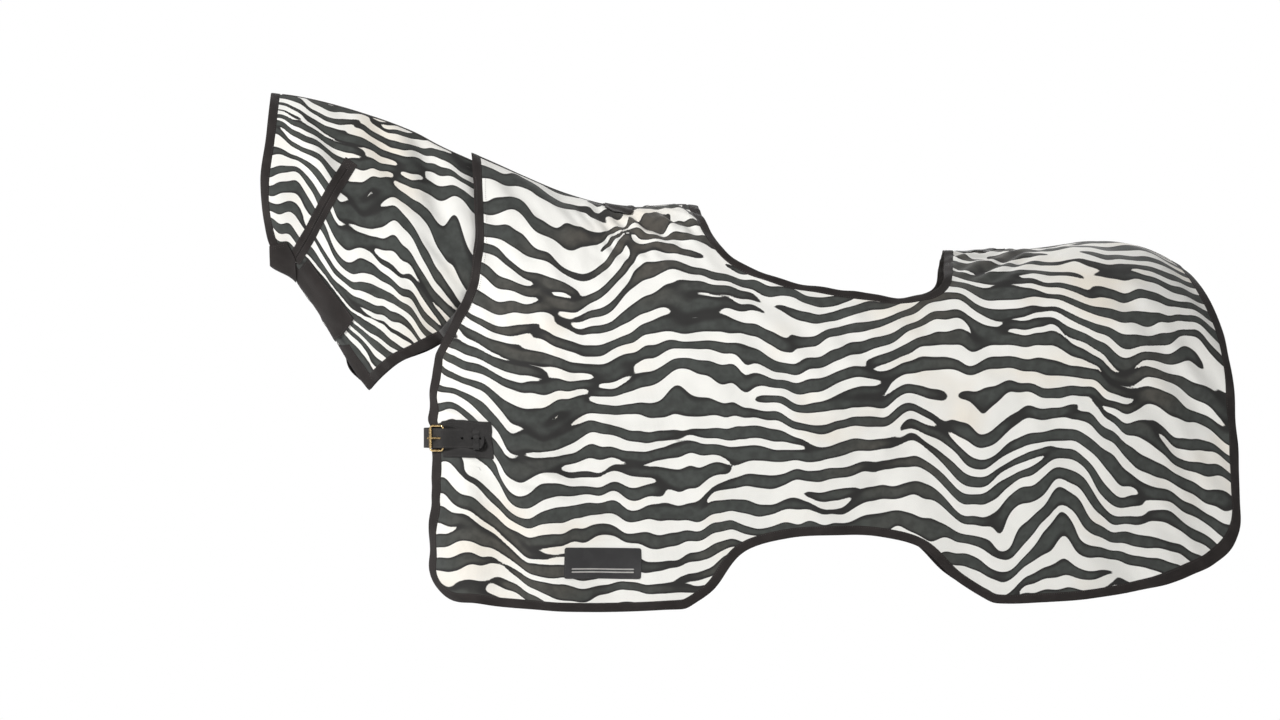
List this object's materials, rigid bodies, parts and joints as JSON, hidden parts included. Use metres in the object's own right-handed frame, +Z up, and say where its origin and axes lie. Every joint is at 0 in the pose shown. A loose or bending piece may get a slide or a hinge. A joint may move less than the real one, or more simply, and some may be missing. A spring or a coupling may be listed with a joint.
{
  "type": "riding fly rug with neck cover",
  "caption": "Zebra-print mesh riding fly rug with a saddle cut-out, belly arch and buckled chest, and a detachable neck cover hung at the withers, in the shape worn on a horse.",
  "frame": {"origin": "the topline at the withers, on the middle plane between the rug's two halves", "axes": "+X towards the tail, -Y to the horse's left (near) side, +Z up"},
  "size_m": [1.9692, 0.6122, 1.0433],
  "materials": {
    "mesh_cloth": "open polyester mesh with a printed zebra pattern, matt",
    "binding_tape": "ribbed polyester binding tape, dark brown-black, matt",
    "webbing": "flat-woven webbing, black, slight sheen",
    "hook_and_loop": "hook-and-loop tape, dark brown-black",
    "label_weave": "plain woven patch with no lettering",
    "brass": "polished, lightly worn"
  },
  "bodies": {
    "rug": {"back_patch": "binding_tape", "belly_arch_binding_left": "binding_tape", "belly_arch_binding_right": "binding_tape", "buckle_chape": "webbing", "chest_buckle_frame": "brass", "chest_edge_binding_left": "binding_tape", "chest_edge_binding_right": "binding_tape", "chest_patch_left": "webbing", "chest_patch_right": "webbing", "chest_strap": "webbing", "croup_seam_tape": "binding_tape", "front_hem_binding_left": "binding_tape", "front_hem_binding_right": "binding_tape", "label_patch": "label_weave", "neck_fastening_loop_left": "hook_and_loop", "neck_fastening_loop_right": "hook_and_loop", "neckline_binding_left": "binding_tape", "neckline_binding_right": "binding_tape", "rear_edge_binding_left": "binding_tape", "rear_edge_binding_right": "binding_tape", "rear_hem_binding_left": "binding_tape", "rear_hem_binding_right": "binding_tape", "rug_panel_left": "mesh_cloth", "rug_panel_right": "mesh_cloth", "saddle_opening_binding_left": "binding_tape", "saddle_opening_binding_right": "binding_tape", "strap_keeper": "webbing", "wither_edge_tape_left": "binding_tape", "wither_edge_tape_right": "binding_tape", "wither_loop_patch": "hook_and_loop"},
    "neck_cover": {"crest_seam_tape": "binding_tape", "gullet_edge_binding_left": "binding_tape", "gullet_edge_binding_right": "binding_tape", "gullet_loop_strip": "hook_and_loop", "lower_edge_binding_left": "binding_tape", "lower_edge_binding_right": "binding_tape", "neck_fastening_hook_left": "hook_and_loop", "neck_fastening_hook_right": "hook_and_loop", "neck_panel_left": "mesh_cloth", "neck_panel_right": "mesh_cloth", "poll_edge_binding_left": "binding_tape", "poll_edge_binding_right": "binding_tape", "rein_slit_binding_left": "binding_tape", "rein_slit_binding_right": "binding_tape"},
    "wither_tab": {"wither_tab": "binding_tape"},
    "throat_tab": {"throat_tab": "binding_tape"},
    "gullet_strip": {"gullet_hook_strip": "binding_tape"},
    "buckle_roller": {"chest_buckle_roller": "brass"},
    "buckle_prong": {"chest_buckle_prong": "brass"}
  },
  "joints": [
    {"name": "neck_lower", "type": "hinge", "parent": "rug", "child": "neck_cover", "pos_m": [-0.3, 0, 0.09], "axis": [0, -1, 0], "range_deg": [0, 15]},
    {"name": "wither_tab_lift", "type": "hinge", "parent": "rug", "child": "wither_tab", "pos_m": [-0.043, -0.046, -0.0105], "axis": [1, 0, 0], "range_deg": [0, 150]},
    {"name": "throat_tab_lift", "type": "hinge", "parent": "neck_cover", "child": "throat_tab", "pos_m": [-0.732, -0.0555, -0.07], "axis": [-0.995, 0, -0.0995], "range_deg": [0, 110]},
    {"name": "gullet_strip_lift", "type": "hinge", "parent": "neck_cover", "child": "gullet_strip", "pos_m": [-0.626, -0.0653, -0.165], "axis": [-0.6022, 0, 0.7983], "range_deg": [0, 100]},
    {"name": "buckle_roller_spin", "type": "hinge", "parent": "rug", "child": "buckle_roller", "pos_m": [-0.42393, -0.10049, -0.468], "axis": [0, 0, 1], "continuous": true},
    {"name": "buckle_prong_lift", "type": "hinge", "parent": "rug", "child": "buckle_prong", "pos_m": [-0.39821, -0.12278, -0.468], "axis": [0, 0, 1], "range_deg": [0, 40]}
  ]
}
